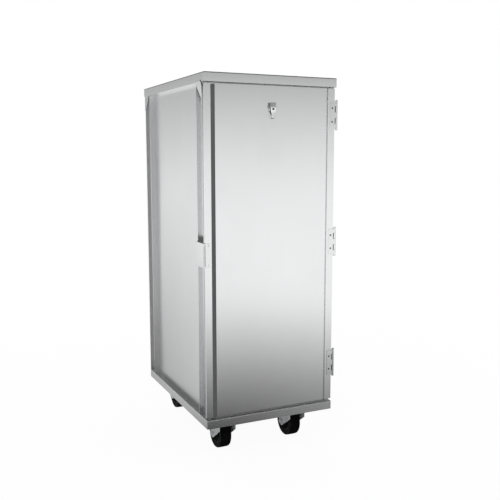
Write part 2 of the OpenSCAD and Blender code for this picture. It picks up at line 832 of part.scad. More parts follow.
// Spring: one wire wound round the pin, with a leg along each side of the base
function coil_point(i) =
    let (a = 180 + 360 * i / coil_steps)
    [(i / coil_steps - clip_turns / 2) * coil_pitch, coil_r * cos(a), coil_r * sin(a)];
coil_last = clip_turns * coil_steps;
coil_route = concat(
    [coil_point(0) + [0, 0, coil_leg]],
    [for (i = [0 : coil_last]) coil_point(i)],
    [coil_point(coil_last) + [0, 0, -coil_leg]]
);
coil_gap = min([for (i = [0 : coil_last - coil_steps], j = [i + coil_steps - 1 : coil_last])
    norm(coil_point(i) - coil_point(j))]) - wire_d;
echo(least_gap_between_spring_turns = coil_gap);

// A tube of one diameter along a route; each ring stands square to the route
module wire(route, d, sides) {
    n = len(route);
    rings = [for (i = [0 : n - 1])
        let (t = unit(route[min(i + 1, n - 1)] - route[max(i - 1, 0)]),
             u = unit(cross(t, [1, 0, 0])),
             v = cross(t, u))
        for (s = [0 : sides - 1])
            route[i] + d / 2 * (cos(360 * s / sides) * u + sin(360 * s / sides) * v)];
    walls = [for (i = [0 : n - 2], s = [0 : sides - 1])
        let (a = i * sides + s, b = i * sides + (s + 1) % sides)
        each [[a, b, a + sides], [b, b + sides, a + sides]]];
    ends = concat([for (s = [1 : sides - 2]) [0, s + 1, s]],
                  [for (s = [1 : sides - 2]) [(n - 1) * sides, (n - 1) * sides + s,
                                              (n - 1) * sides + s + 1]]);
    polyhedron(rings, concat(walls, ends));
}

module clip_spring() color(near_black) at_clip() wire(coil_route, wire_d, coil_sides);

// ---- casters: side is -1 at the left and 1 at the right, end is -1 at the front ----

module at_kingpin(side, end) translate([side * kingpin_x, end * kingpin_y, 0]) children();

module bolt_places() for (bx = [-1, 1], by = [-1, 1])
    translate([bx * bolt_dx, by * bolt_dy, 0]) children();

module caster_plate(side, end) color(zinc) at_kingpin(side, end) {
    difference() {
        translate([0, 0, plate_bottom]) linear_extrude(plate_t) round_rect(plate_w, plate_l, 6);
        bolt_places() translate([0, 0, plate_bottom - cut])
            cylinder(h = plate_t + 2 * cut, r = bolt_r + hole_clear);
    }
    translate([0, 0, race_bottom]) cylinder(h = race_h + eps, r = race_r);
    translate([0, 0, crown_bottom - kingpin_nut_h])
        cylinder(h = race_bottom - crown_bottom + kingpin_nut_h + eps, r = kingpin_r);
    translate([0, 0, crown_bottom - kingpin_nut_h])
        cylinder(h = kingpin_nut_h - part_gap, r = kingpin_nut_r, $fn = 6);
}

module caster_bolts() color(zinc) for (side = [-1, 1], end = [-1, 1])
    at_kingpin(side, end) bolt_places() {
        translate([0, 0, plate_bottom - bolt_head_h])
            cylinder(h = bolt_head_h, r = bolt_head_r, $fn = 6);
        translate([0, 0, plate_bottom - eps])
            cylinder(h = deck_bottom - 1 - plate_bottom, r = bolt_r);
        translate([0, 0, caster_h + channel_sheet])
            cylinder(h = bolt_nut_h, r = bolt_head_r, $fn = 6);
    }

// Side view of a fork leg: from the crown down to a round tip about the axle
module fork_leg_outline() {
    axle = [caster_trail, wheel_r];
    inset = crown_corner_r + leg_top_inset;
    front_top = [crown_front + inset, crown_top];
    front_low = front_top - [0, leg_shoulder];
    back_top = [crown_back - inset, crown_top];
    back_low = back_top - [0, leg_shoulder];
    touch_r = leg_tip_r - tip_overlap;
    translate(axle) circle(leg_tip_r);
    polygon([front_top, front_low, tangent_point(front_low, axle, touch_r, 1), axle,
             tangent_point(back_low, axle, touch_r, -1), back_low, back_top]);
}

module caster_fork(side, end) color(zinc) at_kingpin(side, end) difference() {
    union() {
        translate([0, (crown_front + crown_back) / 2, crown_bottom]) linear_extrude(crown_t)
            round_rect(2 * leg_out, crown_back - crown_front, crown_corner_r);
        translate([0, 0, crown_top - eps])
            cylinder(h = race_bottom - part_gap - crown_top, r = swivel_r);
        for (x = [-leg_out, leg_in])
            translate([x, 0, 0]) rotate([90, 0, 90]) linear_extrude(leg_t) fork_leg_outline();
    }
    translate([0, 0, crown_bottom - cut])
        cylinder(h = race_bottom - crown_bottom + 2 * cut, r = kingpin_r + run_clear);
    translate([0, caster_trail, wheel_r])
        rod_x(-leg_out - cut, leg_out + cut, axle_r + press_clear);
}

module caster_axle(side, end) color(zinc) at_kingpin(side, end)
    translate([0, caster_trail, wheel_r]) {
        rod_x(-leg_out - eps, leg_out + axle_nut_h + 1, axle_r);
        rod_x(-leg_out - axle_head_h, -leg_out, axle_head_r, 6);
        rod_x(leg_out, leg_out + axle_nut_h, axle_head_r, 6);
    }

// Wheel core: hub, thin web and rim, turned about the axle
module wheel_core(side, end) color(near_black) at_kingpin(side, end)
    translate([0, caster_trail, wheel_r]) rotate([0, 90, 0]) rotate_extrude() polygon([
        [axle_r + run_clear, -hub_half], [hub_outer_r, -hub_half], [hub_outer_r, -web_half],
        [core_r - core_rim_t, -web_half], [core_r - core_rim_t, -core_rim_half],
        [core_r, -core_rim_half], [core_r, core_rim_half], [core_r - core_rim_t, core_rim_half],
        [core_r - core_rim_t, web_half], [hub_outer_r, web_half], [hub_outer_r, hub_half],
        [axle_r + run_clear, hub_half]
    ]);

module tyre(side, end) color(near_black) at_kingpin(side, end)
    translate([0, caster_trail, wheel_r]) rotate([0, 90, 0]) rotate_extrude() polygon([
        [core_r, -wheel_w / 2], [wheel_r - tyre_chamfer, -wheel_w / 2],
        [wheel_r, -wheel_w / 2 + tyre_chamfer], [wheel_r, wheel_w / 2 - tyre_chamfer],
        [wheel_r - tyre_chamfer, wheel_w / 2], [core_r, wheel_w / 2]
    ]);

base_pan();
caster_channel(-kingpin_y);  // caster_channel_front
caster_channel(kingpin_y);  // caster_channel_rear
upright_front_left();
upright_front_right();
upright_rear_left();
upright_rear_right();
side_panel_left();
side_panel_right();
back_panel();
back_panel_rivets();
door_header();
door_sill();
top_cap();
corner_gussets();
tray_slides_left();
tray_slides_right();
hinge_frame_leaves();
hinge_pins();
hinge_frame_screws();
latch_keeper();
keeper_magnets();
door_left_stile();
door_right_stile();
door_panel();
door_liner();
door_strip();
door_seal();
hinge_door_leaves();
hinge_door_screws();
latch_plate();
latch_screws();
latch_pin();
latch_lever();
clip_base();
clip_pin();
clip_spring();
clip_rivets();
clip_jaw();
caster_bolts();
caster_plate(-1, -1);  // caster_plate_front_left
caster_plate(1, -1);  // caster_plate_front_right
caster_plate(-1, 1);  // caster_plate_rear_left
caster_plate(1, 1);  // caster_plate_rear_right
caster_fork(-1, -1);  // caster_fork_front_left
caster_fork(1, -1);  // caster_fork_front_right
caster_fork(-1, 1);  // caster_fork_rear_left
caster_fork(1, 1);  // caster_fork_rear_right
caster_axle(-1, -1);  // caster_axle_front_left
caster_axle(1, -1);  // caster_axle_front_right
caster_axle(-1, 1);  // caster_axle_rear_left
caster_axle(1, 1);  // caster_axle_rear_right
wheel_core(-1, -1);  // wheel_core_front_left
wheel_core(1, -1);  // wheel_core_front_right
wheel_core(-1, 1);  // wheel_core_rear_left
wheel_core(1, 1);  // wheel_core_rear_right
tyre(-1, -1);  // tyre_front_left
tyre(1, -1);  // tyre_front_right
tyre(-1, 1);  // tyre_rear_left
tyre(1, 1);  // tyre_rear_right
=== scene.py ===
# Enclosed meal tray cart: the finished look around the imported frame.
# Metres; the front faces -Y, right is +X, and the floor is z = 0.
import json
import math

import bmesh
import bpy
from mathutils import Matrix, Vector


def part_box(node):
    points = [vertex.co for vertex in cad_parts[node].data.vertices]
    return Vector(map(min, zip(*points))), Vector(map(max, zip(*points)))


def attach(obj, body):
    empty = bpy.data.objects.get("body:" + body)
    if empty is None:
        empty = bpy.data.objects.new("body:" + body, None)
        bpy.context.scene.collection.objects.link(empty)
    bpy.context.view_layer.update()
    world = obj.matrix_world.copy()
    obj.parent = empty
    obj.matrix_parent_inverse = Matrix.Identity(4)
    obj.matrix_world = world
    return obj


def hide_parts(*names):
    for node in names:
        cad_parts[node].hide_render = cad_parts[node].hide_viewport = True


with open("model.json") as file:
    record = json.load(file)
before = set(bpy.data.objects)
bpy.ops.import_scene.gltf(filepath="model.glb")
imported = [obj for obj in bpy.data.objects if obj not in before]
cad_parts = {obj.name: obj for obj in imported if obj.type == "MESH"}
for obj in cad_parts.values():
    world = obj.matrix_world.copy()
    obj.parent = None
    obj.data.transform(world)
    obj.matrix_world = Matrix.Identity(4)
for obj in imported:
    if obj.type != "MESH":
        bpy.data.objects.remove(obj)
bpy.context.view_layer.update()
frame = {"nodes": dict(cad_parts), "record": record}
bodies = frame["record"]["behaviour"]["bodies"]
bodyOf = {node: body for body, members in bodies.items() for node in members}
mm = 0.001
rowPitch = 120 * mm    # from one tray level to the next, and from rivet to rivet
mergeWithin = 0.002 * mm
flatWithin = math.radians(0.5)
bentFrom = math.radians(30)    # an edge bent this much is broken
corners = ["front_left", "front_right", "rear_left", "rear_right"]


# camera: the photograph's own viewpoint, a little left of the front

cameraLook = {
    "place": (-1.2225, -2.8293, 1.1971),
    "tilt": 82.247,          # degrees up from looking straight down
    "turn": -25.166,         # degrees about the vertical
    "lens": 50.71,
    "shift": (-0.0119, 0.0063),
}


def makeCamera(look):
    data = bpy.data.cameras.new("photoCamera")
    data.lens = look["lens"]
    data.sensor_width = 36
    data.shift_x, data.shift_y = look["shift"]
    camera = bpy.data.objects.new("photoCamera", data)
    camera.location = look["place"]
    camera.rotation_euler = (math.radians(look["tilt"]), 0, math.radians(look["turn"]))
    bpy.context.scene.collection.objects.link(camera)
    bpy.context.scene.camera = camera


makeCamera(cameraLook)
bpy.context.scene.view_settings.view_transform = "Standard"
print("camera ready")


# small helpers for node trees and meshes

def addNode(tree, kind, wires=None, **settings):
    node = tree.nodes.new(kind)
    for label, value in settings.items():
        setattr(node, label, value)
    for label, value in (wires or {}).items():
        if isinstance(value, bpy.types.NodeSocket):
            tree.links.new(value, node.inputs[label])
        else:
            node.inputs[label].default_value = value
    return node


def doMath(tree, operation, first, second):
    return addNode(tree, "ShaderNodeMath", {0: first, 1: second}, operation=operation).outputs[0]


def newObject(name, mesh):
    obj = bpy.data.objects.new(name, mesh)
    bpy.context.scene.collection.objects.link(obj)
    return obj


def camelName(node):
    first, *rest = node.split("_")
    return first + "".join(word.capitalize() for word in rest)


def settle(obj):
    # puts the evaluated mesh in place of the object's modifiers
    bpy.context.view_layer.update()
    mesh = bpy.data.meshes.new_from_object(obj.evaluated_get(bpy.context.evaluated_depsgraph_get()))
    obj.modifiers.clear()
    old = obj.data
    obj.data = mesh
    bpy.data.meshes.remove(old)
    return obj


def mount(obj, body, slot, *nodes):
    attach(obj, body)
    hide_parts(*nodes)
    return obj


def meshFrom(name, points, faces):
    mesh = bpy.data.meshes.new(name)
    mesh.from_pydata([tuple(p) for p in points], [], faces)
    bm = bmesh.new()
    bm.from_mesh(mesh)
    bmesh.ops.remove_doubles(bm, verts=bm.verts, dist=0.001 * mm)
    bmesh.ops.recalc_face_normals(bm, faces=bm.faces)
    bm.to_mesh(mesh)
    bm.free()
    return mesh


def smoothShade(mesh, angle=35):
    mesh.shade_smooth()
    mesh.set_sharp_from_angle(angle=math.radians(angle))
    return mesh


# where a sheet is drilled: the fasteners in its holes, and the axis along which their places differ
drilledFor = {
    "door_panel": [("clip_rivets", 2)],
    "door_left_stile": [("latch_screws", 2)],
    "door_right_stile": [("hinge_door_screws", 2)],
    "hinge_door_leaves": [("hinge_door_screws", 2)],
    "hinge_frame_leaves": [("hinge_frame_screws", 2)],
    "upright_front_right": [("hinge_frame_screws", 2)],
    "latch_plate": [("latch_screws", 2)],
    "clip_base": [("clip_rivets", 2), ("clip_pin", 2)],
    "back_panel": [("back_panel_rivets", 2)],
    "upright_rear_left": [("back_panel_rivets", 2)],
    "upright_rear_right": [("back_panel_rivets", 2)],
    "caster_channel_front": [("caster_bolts", 1)],
    "caster_channel_rear": [("caster_bolts", 1)],
}
for corner in corners:
    drilledFor["caster_plate_" + corner] = [("caster_bolts", 1)]
    drilledFor["caster_fork_" + corner] = [("caster_axle_" + corner, 2), ("caster_plate_" + corner, 1)]


def middlesOf(node, axis):
    # the middle of each loose part of a node, along one axis
    bm = bmesh.new()
    bm.from_mesh(frame["nodes"][node].data)
    bmesh.ops.remove_doubles(bm, verts=bm.verts, dist=mergeWithin)
    middles, seen = set(), set()
    for start in bm.verts:
        if start in seen:
            continue
        seen.add(start)
        part, queue = [start], [start]
        while queue:
            for edge in queue.pop().link_edges:
                for vert in edge.verts:
                    if vert not in seen:
                        seen.add(vert)
                        part.append(vert)
                        queue.append(vert)
        along = [vert.co[axis] for vert in part]
        middles.add(round((min(along) + max(along)) / 2, 6))
    bm.free()
    return middles


def cleanCopy(node):
    # a frame node's mesh, merged and with its flat faces made whole
    # a drilled face is cut across each hole, so that no face has a hole in it
    bm = bmesh.new()
    bm.from_mesh(frame["nodes"][node].data)
    bmesh.ops.remove_doubles(bm, verts=bm.verts, dist=mergeWithin)
    bmesh.ops.dissolve_limit(bm, angle_limit=flatWithin, verts=bm.verts, edges=bm.edges)
    cuts = [(axis, place) for fastener, axis in drilledFor.get(node, [])
            for place in middlesOf(fastener, axis)]
    for axis, place in cuts:
        normal = [0, 0, 0]
        normal[axis] = 1
        bmesh.ops.bisect_plane(bm, geom=[*bm.verts, *bm.edges, *bm.faces], dist=0.001 * mm,
                               plane_co=[place * n for n in normal], plane_no=normal)
    if cuts:
        spare = [edge for edge in bm.edges if len(edge.link_faces) == 2
                 and edge.calc_face_angle() < flatWithin
                 and not any(all(abs(vert.co[axis] - place) < mergeWithin for vert in edge.verts)
                             for axis, place in cuts)]
        bmesh.ops.dissolve_edges(bm, edges=spare, use_verts=False)
    bm.verts.index_update()
    mesh = bpy.data.meshes.new(camelName(node))
    mesh.from_pydata([v.co[:] for v in bm.verts], [], [[v.index for v in f.verts] for f in bm.faces])
    bm.free()
    return mesh


def softCopy(node, look):
    # the node's own shape with its sheet and casting edges broken
    mesh = cleanCopy(node)
    mesh.shade_smooth()
    for finish in look["finishes"]:
        mesh.materials.append(finish)
    obj = newObject(camelName(node), mesh)
    bevel = obj.modifiers.new("brokenEdges", "BEVEL")
    bevel.width = look["edge"] * mm
    bevel.segments = look["steps"]
    bevel.limit_method = "ANGLE"
    bevel.angle_limit = bentFrom
    bevel.use_clamp_overlap = False
    # the broken edges take the look's second finish; for sheet and zinc plate its lighter tone is a painted
    # highlight
    if len(look["finishes"]) > 1:
        bevel.material = 1
    obj.modifiers.new("flatFaces", "WEIGHTED_NORMAL").keep_sharp = True
    return settle(obj)


def softened(node, look):
    return mount(softCopy(node, look), bodyOf[node], look["slot"], node)


def boxPiece(name, low, high, finish):
    # plain block with slightly broken edges, for folds and lips that join a larger piece
    bm = bmesh.new()
    bmesh.ops.create_cube(bm, size=1)
    size, middle = Vector(high) - Vector(low), (Vector(high) + Vector(low)) / 2
    sized = Matrix.Translation(middle) @ Matrix.Diagonal((*size, 1))
    bmesh.ops.transform(bm, verts=bm.verts, matrix=sized)
    bmesh.ops.bevel(bm, geom=bm.edges[:], offset=min(size) * 0.2, segments=2, affect="EDGES")
    mesh = bpy.data.meshes.new(name)
    bm.to_mesh(mesh)
    bm.free()
    mesh.materials.append(finish)
    return newObject(name, mesh)


def lathePiece(name, profile, centre, axis="X", steps=96):
    # turned about X or Y; profile points are (along the axis, radius), and the last joins the first
    points, faces = [], []
    for i in range(steps):
        c, s = math.cos(math.tau * i / steps), math.sin(math.tau * i / steps)
        for along, r in profile:
            turned = (along, r * c, r * s) if axis == "X" else (r * s, along, r * c)
            points.append(Vector(centre) + Vector(turned) * mm)
    n = len(profile)
    for i in range(steps):
        for k in range(n):
            a, b = i * n + k, i * n + (k + 1) % n
            c, d = (i + 1) % steps * n + (k + 1) % n, (i + 1) % steps * n + k
            faces.append((a, b, c, d))
    return meshFrom(name, points, faces)


def arcPoints(centre, r, start, end, steps):
    # points of an arc in degrees, ends included
    return [
        (centre[0] + r * math.cos(math.radians(start + (end - start) * i / steps)),
         centre[1] + r * math.sin(math.radians(start + (end - start) * i / steps)))
        for i in range(steps + 1)
    ]


# finishes

def newFinish(name):
    material = bpy.data.materials.new(name)
    material.use_nodes = True
    tree = material.node_tree
    tree.nodes.clear()
    surface = addNode(tree, "ShaderNodeBsdfPrincipled")
    output = addNode(tree, "ShaderNodeOutputMaterial")
    tree.links.new(surface.outputs[0], output.inputs["Surface"])
    return material, tree, surface


def stretchedPlace(tree, scale):
    place = addNode(tree, "ShaderNodeTexCoord").outputs["Object"]
    return addNode(tree, "ShaderNodeMapping", {"Vector": place, "Scale": scale}).outputs[0]


def noiseField(tree, scale, detail=3.0, roughness=0.6):
    return addNode(tree, "ShaderNodeTexNoise", {
        "Vector": stretchedPlace(tree, scale), "Scale": 1.0, "Detail": detail, "Roughness": roughness,
    }).outputs[0]


def remap(tree, value, source, target):
    return addNode(tree, "ShaderNodeMapRange", {
        "Value": value, "From Min": source[0], "From Max": source[1],
        "To Min": target[0], "To Max": target[1],
    }).outputs[0]


def toneRamp(tree, value, low, high, tones):
    ramp = addNode(tree, "ShaderNodeValToRGB", {"Fac": value})
    ramp.color_ramp.elements[0].position, ramp.color_ramp.elements[1].position = low, high
    for element, tone in zip(ramp.color_ramp.elements, tones):
        element.color = (*tone, 1)
    return ramp.outputs["Color"]


def bumped(tree, height, depth, under=None):
    wires = {"Height": height, "Strength": 1.0, "Distance": depth * mm}
    if under:
        wires["Normal"] = under
    return addNode(tree, "ShaderNodeBump", wires).outputs[0]


def metalFinish(name, look):
    # rolled or plated metal: fine grain, cloudy tone, handling smudges and a slight wave of the sheet
    material, tree, surface = newFinish(name)
    grain = noiseField(tree, look["grain"], 4.0)
    clouds = noiseField(tree, look["clouds"], 5.0)
    marks = noiseField(tree, look["smudges"], 6.0, 0.7)
    smudge = remap(tree, marks, (0.52, 0.72), (0.0, look["smudgeDull"]))
    rough = remap(tree, grain, (0.3, 0.7), look["rough"])
    surface.inputs["Metallic"].default_value = look.get("metallic", 1.0)
    tree.links.new(toneRamp(tree, clouds, 0.3, 0.7, look["tones"]), surface.inputs["Base Color"])
    tree.links.new(doMath(tree, "ADD", rough, smudge), surface.inputs["Roughness"])
    fine = bumped(tree, grain, look["grainDepth"])
    wave = bumped(tree, noiseField(tree, look["wave"], 1.0), look["waveDepth"], fine)
    tree.links.new(wave, surface.inputs["Normal"])
    return material


def darkFinish(name, look):
    # plastic or rubber: mottled tone, fine surface texture and a worn, dusty bloom
    material, tree, surface = newFinish(name)
    skin = noiseField(tree, look["skin"], 4.0)
    clouds = noiseField(tree, look["clouds"], 5.0)
    tree.links.new(toneRamp(tree, clouds, 0.35, 0.7, look["tones"]), surface.inputs["Base Color"])
    tree.links.new(remap(tree, skin, (0.3, 0.7), look["rough"]), surface.inputs["Roughness"])
    tree.links.new(bumped(tree, skin, look["skinDepth"]), surface.inputs["Normal"])
    surface.inputs["Specular IOR Level"].default_value = look["gloss"]
    return material


sheetLook = {
    "tones": ((0.845, 0.85, 0.855), (0.885, 0.89, 0.895)),
    "rough": (0.19, 0.215),
    "grain": (700, 700, 16),
    "grainDepth": 0.0006,
    "clouds": (2.2, 2.2, 1.1),
    "smudges": (5, 5, 3.5),
    "smudgeDull": 0.03,
    "wave": (2.6, 2.6, 2.0),
    "waveDepth": 0.12,
}
sheetUpright = metalFinish("satinSheetUpright", sheetLook)
sheetAcross = metalFinish("satinSheetAcross", {**sheetLook, "grain": (16, 700, 700)})
# the sheet's bevelled edges: a smoother copy of the same sheet whose lighter tone is a painted highlight
sheetEdgeHighlight = metalFinish("satinSheetEdgeHighlight", {
    **sheetLook,
    "tones": ((0.865, 0.868, 0.873), (0.905, 0.908, 0.912)),
    "rough": (0.16, 0.19),
})
# a rougher copy of the same sheet for the rear uprights, whose darker tone is painted shade
sheetDullAndShaded = metalFinish("dullShadedSheet", {
    **sheetLook,
    "tones": ((0.72, 0.723, 0.727), (0.77, 0.773, 0.777)),
    "rough": (0.42, 0.46),
})
# the pan's fold: a lighter, rougher copy of the sheet, whose lighter tone is a painted highlight along the
# fold
sheetFoldHighlight = metalFinish("satinSheetFoldHighlight", {
    **sheetLook,
    "tones": ((0.92, 0.922, 0.925), (0.95, 0.952, 0.955)),
    "rough": (0.46, 0.50),
})
sheetSide = metalFinish("satinSheetSide", {**sheetLook, "rough": (0.29, 0.32)})
sheetSet, panSet, sideSet = [sheetUpright, sheetEdgeHighlight], [sheetAcross, sheetEdgeHighlight], [sheetSide, sheetEdgeHighlight]

steelLook = {
    **sheetLook,
    "tones": ((0.79, 0.795, 0.80), (0.84, 0.843, 0.847)),
    "rough": (0.15, 0.19),
    "grain": (900, 900, 60),
    "grainDepth": 0.0008,
    "waveDepth": 0.02,
}
steelFace = metalFinish("brightSteel", steelLook)
steelEdge = metalFinish("brightSteelEdge", {**steelLook, "rough": (0.12, 0.18)})
steelSet = [steelFace, steelEdge]

zincLook = {
    **sheetLook,
    "metallic": 0.6,
    "tones": ((0.70, 0.71, 0.725), (0.80, 0.805, 0.81)),
    "rough": (0.34, 0.42),
    "grain": (500, 500, 500),
    "grainDepth": 0.003,
    "clouds": (60, 60, 60),
    "smudges": (24, 24, 24),
    "smudgeDull": 0.10,
    "waveDepth": 0.02,
}
zincFace = metalFinish("zincPlate", zincLook)
# the plate's bevelled edges: the same plating with a lighter tone, a painted highlight
zincEdgeHighlight = metalFinish("zincPlateEdgeHighlight", {
    **zincLook,
    "tones": ((0.80, 0.805, 0.815), (0.87, 0.872, 0.875)),
})
zincSet = [zincFace, zincEdgeHighlight]

darkSteel = metalFinish("blackenedSteel", {
    **steelLook,
    "tones": ((0.08, 0.08, 0.085), (0.14, 0.14, 0.145)),
    "rough": (0.30, 0.40),
    "clouds": (80, 80, 80),
})
screwSteel = metalFinish("screwSteel", {
    **zincLook,
    "metallic": 1.0,
    "tones": ((0.20, 0.205, 0.21), (0.27, 0.275, 0.28)),
})
stripVinyl = darkFinish("stripVinyl", {
    "tones": ((0.098, 0.100, 0.100), (0.118, 0.120, 0.120)),
    "rough": (0.55, 0.68),
    "skin": (900, 900, 30),
    "skinDepth": 0.01,
    "clouds": (30, 30, 4),
    "gloss": 0.25,
})
sealRubber = darkFinish("sealRubber", {
    "tones": ((0.018, 0.018, 0.019), (0.032, 0.032, 0.033)),
    "rough": (0.50, 0.62),
    "skin": (600, 600, 600),
    "skinDepth": 0.02,
    "clouds": (40, 40, 12),
    "gloss": 0.30,
})
wheelPlastic = darkFinish("wheelPlastic", {
    "tones": ((0.010, 0.010, 0.011), (0.020, 0.020, 0.021)),
    "rough": (0.42, 0.55),
    "skin": (450, 450, 450),
    "skinDepth": 0.03,
    "clouds": (45, 45, 45),
    "gloss": 0.30,
})
tyreLook = {
    "tones": ((0.0025, 0.0025, 0.0027), (0.0055, 0.0055, 0.0058)),
    "rough": (0.60, 0.75),
    "skin": (380, 380, 380),
    "skinDepth": 0.05,
    "clouds": (55, 55, 55),
    "gloss": 0.03,
}
tyreTread = darkFinish("tyreTread", tyreLook)
tyreWall = darkFinish("tyreWall", {
    **tyreLook,
    "tones": ((0.010, 0.010, 0.0105), (0.018, 0.018, 0.0185)),
    "gloss": 0.12,
})
print("finishes ready")


# geometry node trees for what repeats

def sizedTree(name, sockets):
    # an empty tree with named inputs, and its input sockets
    tree = bpy.data.node_groups.new(name, "GeometryNodeTree")
    for label, kind in sockets.items():
        tree.interface.new_socket(label, in_out="INPUT", socket_type="NodeSocket" + kind)
    tree.interface.new_socket("Geometry", in_out="OUTPUT", socket_type="NodeSocketGeometry")
    return tree, addNode(tree, "NodeGroupInput").outputs


def endTree(tree, shape, finish):
    real = addNode(tree, "GeometryNodeRealizeInstances", {"Geometry": shape.outputs[0]})
    painted = addNode(tree, "GeometryNodeSetMaterial", {"Geometry": real.outputs[0], "Material": finish})
    addNode(tree, "NodeGroupOutput", {"Geometry": painted.outputs[0]})
    return tree


def repeatTree():
    # copies of one piece in a straight row
    tree, sizes = sizedTree("pieceRow", {
        "Piece": "Object", "Count": "Int", "Start": "Vector", "Step": "Vector", "Finish": "Material",
    })
    piece = addNode(tree, "GeometryNodeObjectInfo", {"Object": sizes["Piece"]}).outputs["Geometry"]
    row = addNode(tree, "GeometryNodeMeshLine", {
        "Count": sizes["Count"], "Start Location": sizes["Start"], "Offset": sizes["Step"],
    })
    placed = addNode(tree, "GeometryNodeInstanceOnPoints", {"Points": row.outputs[0], "Instance": piece})
    return endTree(tree, placed, sizes["Finish"])


def ringTree():
    # copies of one piece turned about the X axis through a centre
    tree, sizes = sizedTree("pieceRing", {
        "Piece": "Object", "Count": "Int", "Centre": "Vector", "Finish": "Material",
    })
    piece = addNode(tree, "GeometryNodeObjectInfo", {"Object": sizes["Piece"]}).outputs["Geometry"]
    points = addNode(tree, "GeometryNodeMeshLine", {
        "Count": sizes["Count"], "Start Location": sizes["Centre"], "Offset": (0, 0, 0),
    })
    share = doMath(tree, "DIVIDE", math.tau, sizes["Count"])
    index = addNode(tree, "GeometryNodeInputIndex").outputs[0]
    turn = addNode(tree, "ShaderNodeCombineXYZ", {"X": doMath(tree, "MULTIPLY", index, share)}).outputs[0]
    placed = addNode(tree, "GeometryNodeInstanceOnPoints", {
        "Points": points.outputs[0], "Instance": piece, "Rotation": turn,
    })
    return endTree(tree, placed, sizes["Finish"])


def springTree():
    # one wire wound about the X axis, with a straight leg at each end
    tree, sizes = sizedTree("coilSpring", {
        "Turns": "Float", "Radius": "Float", "Length": "Float", "Wire": "Float", "Leg": "Float",
        "Centre": "Vector", "Finish": "Material",
    })
    radius, length = sizes["Radius"], sizes["Length"]
    coil = addNode(tree, "GeometryNodeCurveSpiral", {
        "Resolution": 28, "Rotations": sizes["Turns"], "Start Radius": radius,
        "End Radius": radius, "Height": length, "Reverse": True,
    }).outputs[0]
    turned = addNode(tree, "GeometryNodeTransform", {
        "Geometry": coil, "Rotation": (0, 0, math.pi / 2),
    }).outputs[0]
    lying = addNode(tree, "GeometryNodeTransform", {
        "Geometry": turned, "Rotation": (0, math.pi / 2, 0),
    }).outputs[0]
    ends = []
    for side in (0.0, 1.0):
        along = doMath(tree, "MULTIPLY", length, side)
        rise = doMath(tree, "MULTIPLY", sizes["Leg"], 1 - 2 * side)
        foot = addNode(tree, "ShaderNodeCombineXYZ", {"X": along, "Y": radius}).outputs[0]
        tip = addNode(tree, "ShaderNodeCombineXYZ", {"X": along, "Y": radius, "Z": rise}).outputs[0]
        leg = addNode(tree, "GeometryNodeCurvePrimitiveLine", {"Start": foot, "End": tip})
        ends.append(leg.outputs[0])
    joined = addNode(tree, "GeometryNodeJoinGeometry")
    for curve in [lying, *ends]:
        tree.links.new(curve, joined.inputs[0])
    half = addNode(tree, "ShaderNodeCombineXYZ", {"X": doMath(tree, "MULTIPLY", length, -0.5)}).outputs[0]
    place = addNode(tree, "ShaderNodeVectorMath", {0: sizes["Centre"], 1: half}).outputs[0]
    moved = addNode(tree, "GeometryNodeTransform", {
        "Geometry": joined.outputs[0], "Translation": place,
    }).outputs[0]
    section = addNode(tree, "GeometryNodeCurvePrimitiveCircle", {
        "Resolution": 12, "Radius": doMath(tree, "MULTIPLY", sizes["Wire"], 0.5),
    }).outputs[0]
    tube = addNode(tree, "GeometryNodeCurveToMesh", {
        "Curve": moved, "Profile Curve": section, "Fill Caps": True,
    })
    return endTree(tree, tube, sizes["Finish"])


def growPiece(name, tree, sizes):
    # runs a tree with the given sizes and keeps the result as a plain mesh
    obj = newObject(name, bpy.data.meshes.new(name))
    modifier = obj.modifiers.new("grow", "NODES")
    modifier.node_group = tree
    for item in tree.interface.items_tree:
        if item.in_out == "INPUT" and item.name in sizes:
            modifier[item.identifier] = sizes[item.name]
    settle(obj)
    smoothShade(obj.data)
    return obj


def joinPieces(name, objs):
    # one mesh from several plain ones that share their finishes
    bm = bmesh.new()
    finishes = []
    for obj in objs:
        first = len(bm.faces)
        bm.from_mesh(obj.data)
        bm.faces.ensure_lookup_table()
        for face in bm.faces[first:]:
            finish = obj.data.materials[face.material_index]
            if finish not in finishes:
                finishes.append(finish)
            face.material_index = finishes.index(finish)
    mesh = bpy.data.meshes.new(name)
    bm.to_mesh(mesh)
    bm.free()
    for finish in finishes:
        mesh.materials.append(finish)
    for obj in objs:
        bpy.data.objects.remove(obj)
    return newObject(name, mesh)


pieceRow, pieceRing, coilSpring = repeatTree(), ringTree(), springTree()
print("node trees ready")


# cabinet

panLook = {"edge": 0.6, "steps": 2, "finishes": panSet, "slot": "sheet_aluminium"}
uprightLook = {"edge": 0.7, "steps": 3, "finishes": sheetSet, "slot": "sheet_aluminium"}
panelLook = {"edge": 0.3, "steps": 2, "finishes": sheetSet, "slot": "sheet_aluminium"}
gussetLook = {"edge": 0.5, "steps": 2, "finishes": steelSet, "slot": "polished_steel"}
channelLook = {"edge": 0.6, "steps": 2, "finishes": zincSet, "slot": "zinc_plate"}
capLipLook = {"inset": 1.0, "foot": 0.4, "head": 1.9}    # mm, from the cap's side and from its lower edge
foldTilt = (0.10, 0.995)    # how far up the fold of the pan faces; its lighter tone there is a painted highlight


def makeTopCap(look):
    # the cap's rim turns in between the uprights and closes the side recess from above
    cap = softCopy("top_cap", panLook)
    low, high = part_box("top_cap")
    front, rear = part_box("upright_front_left")[1].y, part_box("upright_rear_left")[0].y
    lips = []
    for side in (-1, 1):
        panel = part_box("side_panel_left" if side < 0 else "side_panel_right")
        inner = panel[0].x if side < 0 else panel[1].x
        outer = (low.x if side < 0 else high.x) - side * look["inset"] * mm
        lips.append(boxPiece("capLip", (min(inner, outer), front, low.z + look["foot"] * mm),
                             (max(inner, outer), rear, low.z + look["head"] * mm), sheetAcross))
    mount(joinPieces("topCap", [cap, *lips]), "cabinet", "sheet_aluminium", "top_cap")


